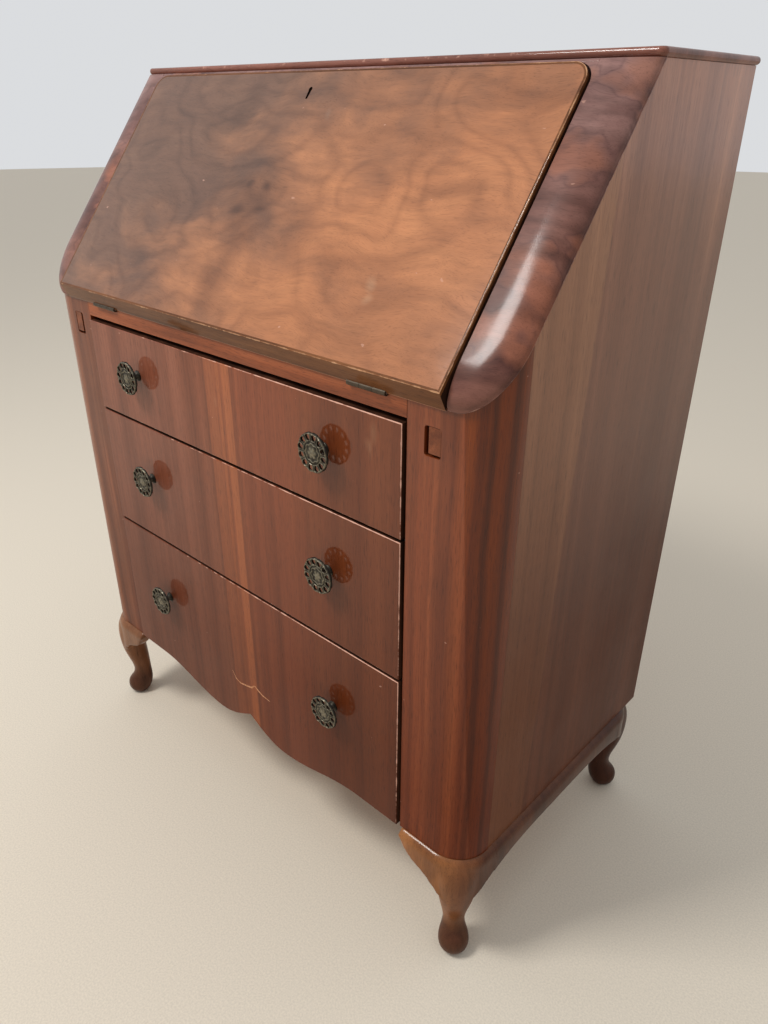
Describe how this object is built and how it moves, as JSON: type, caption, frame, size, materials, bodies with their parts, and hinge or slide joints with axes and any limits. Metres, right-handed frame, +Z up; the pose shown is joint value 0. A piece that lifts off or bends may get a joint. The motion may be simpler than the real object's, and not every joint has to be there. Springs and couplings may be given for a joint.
{
  "type": "slant-front secretary desk",
  "caption": "Slant-front secretary desk with a hinged fall on pull-out lopers, stacked drawers, rounded front corners and cabriole legs.",
  "frame": {"origin": "middle of the bounding box's footprint, on the floor", "axes": "+X to the right seen from the front, +Y from the front to the back, +Z up"},
  "size_m": [0.778, 0.4402, 0.99],
  "materials": {
    "walnut_border": "dark cross-banded walnut veneer, gloss lacquer",
    "walnut_side": "straight-grained walnut veneer, gloss lacquer",
    "walnut_stile": "straight-grained walnut veneer, gloss lacquer",
    "walnut_rail": "walnut, gloss lacquer",
    "walnut_fall": "figured walnut veneer, worn gloss lacquer",
    "walnut_drawer": "vertical walnut veneer with a pale sapwood strip, gloss lacquer",
    "walnut_loper": "walnut, satin",
    "walnut_base": "stained hardwood, gloss lacquer",
    "inner_wood": "plain hardwood, satin",
    "back_ply": "stained plywood, matt",
    "drawer_ply": "plywood, matt",
    "aged_brass": "cast, darkened by age",
    "hinge_brass": "dull brass",
    "steel": "plain steel"
  },
  "bodies": {
    "carcass": {"top_board": "walnut_border", "side_panel_left": "walnut_side", "side_panel_right": "walnut_side", "stile_left": "walnut_stile", "stile_right": "walnut_stile", "slope_border_left": "walnut_border", "slope_border_right": "walnut_border", "slope_top_rail": "walnut_border", "fall_stop_left": "inner_wood", "fall_stop_right": "inner_wood", "front_rail": "walnut_rail", "writing_board": "inner_wood", "back_panel": "back_ply", "bottom_board": "inner_wood", "drawer_rail_upper": "inner_wood", "drawer_rail_lower": "inner_wood", "drawer_guide_left": "inner_wood", "drawer_guide_right": "inner_wood", "drawer_runners_upper": "inner_wood", "drawer_runners_lower": "inner_wood", "loper_guide_left": "inner_wood", "loper_guide_right": "inner_wood", "pigeonhole_shelf": "inner_wood", "pigeonhole_divider_1": "inner_wood", "pigeonhole_divider_2": "inner_wood", "pigeonhole_divider_3": "inner_wood", "pigeonhole_divider_4": "inner_wood", "base_rail_left": "walnut_base", "base_rail_right": "walnut_base", "base_rail_back": "walnut_base", "leg_front_left": "walnut_base", "leg_front_right": "walnut_base", "leg_rear_left": "walnut_base", "leg_rear_right": "walnut_base", "hinge_bed_leaves": "hinge_brass", "hinge_pins": "steel", "hinge_screws_bed": "steel", "lock_strike": "hinge_brass"},
    "fall": {"fall_board": "walnut_fall", "hinge_fall_leaves": "hinge_brass", "hinge_screws_fall": "steel", "lock_case": "hinge_brass"},
    "lock_bolt": {"lock_bolt": "steel"},
    "loper_left": {"loper_left": "walnut_loper"},
    "loper_right": {"loper_right": "walnut_loper"},
    "drawer_1": {"drawer_1_front": "walnut_drawer", "drawer_1_sides": "inner_wood", "drawer_1_back": "inner_wood", "drawer_1_bottom": "drawer_ply", "drawer_1_knobs": "aged_brass"},
    "drawer_2": {"drawer_2_front": "walnut_drawer", "drawer_2_sides": "inner_wood", "drawer_2_back": "inner_wood", "drawer_2_bottom": "drawer_ply", "drawer_2_knobs": "aged_brass"},
    "drawer_3": {"drawer_3_front": "walnut_drawer", "drawer_3_sides": "inner_wood", "drawer_3_back": "inner_wood", "drawer_3_bottom": "drawer_ply", "drawer_3_knobs": "aged_brass"}
  },
  "joints": [
    {"name": "fall_hinge", "type": "hinge", "parent": "carcass", "child": "fall", "pos_m": [0, -0.19695, 0.713], "axis": [1, 0, 0], "range_deg": [0, 128]},
    {"name": "lock_bolt_slide", "type": "slide", "parent": "fall", "child": "lock_bolt", "axis": [0, 0.6157, 0.788], "range_m": [0, 0.005]},
    {"name": "loper_left_slide", "type": "slide", "parent": "carcass", "child": "loper_left", "axis": [0, -1, 0], "range_m": [0, 0.25]},
    {"name": "loper_right_slide", "type": "slide", "parent": "carcass", "child": "loper_right", "axis": [0, -1, 0], "range_m": [0, 0.25]},
    {"name": "drawer_1_slide", "type": "slide", "parent": "carcass", "child": "drawer_1", "axis": [0, -1, 0], "range_m": [0, 0.3]},
    {"name": "drawer_2_slide", "type": "slide", "parent": "carcass", "child": "drawer_2", "axis": [0, -1, 0], "range_m": [0, 0.3]},
    {"name": "drawer_3_slide", "type": "slide", "parent": "carcass", "child": "drawer_3", "axis": [0, -1, 0], "range_m": [0, 0.3]}
  ]
}
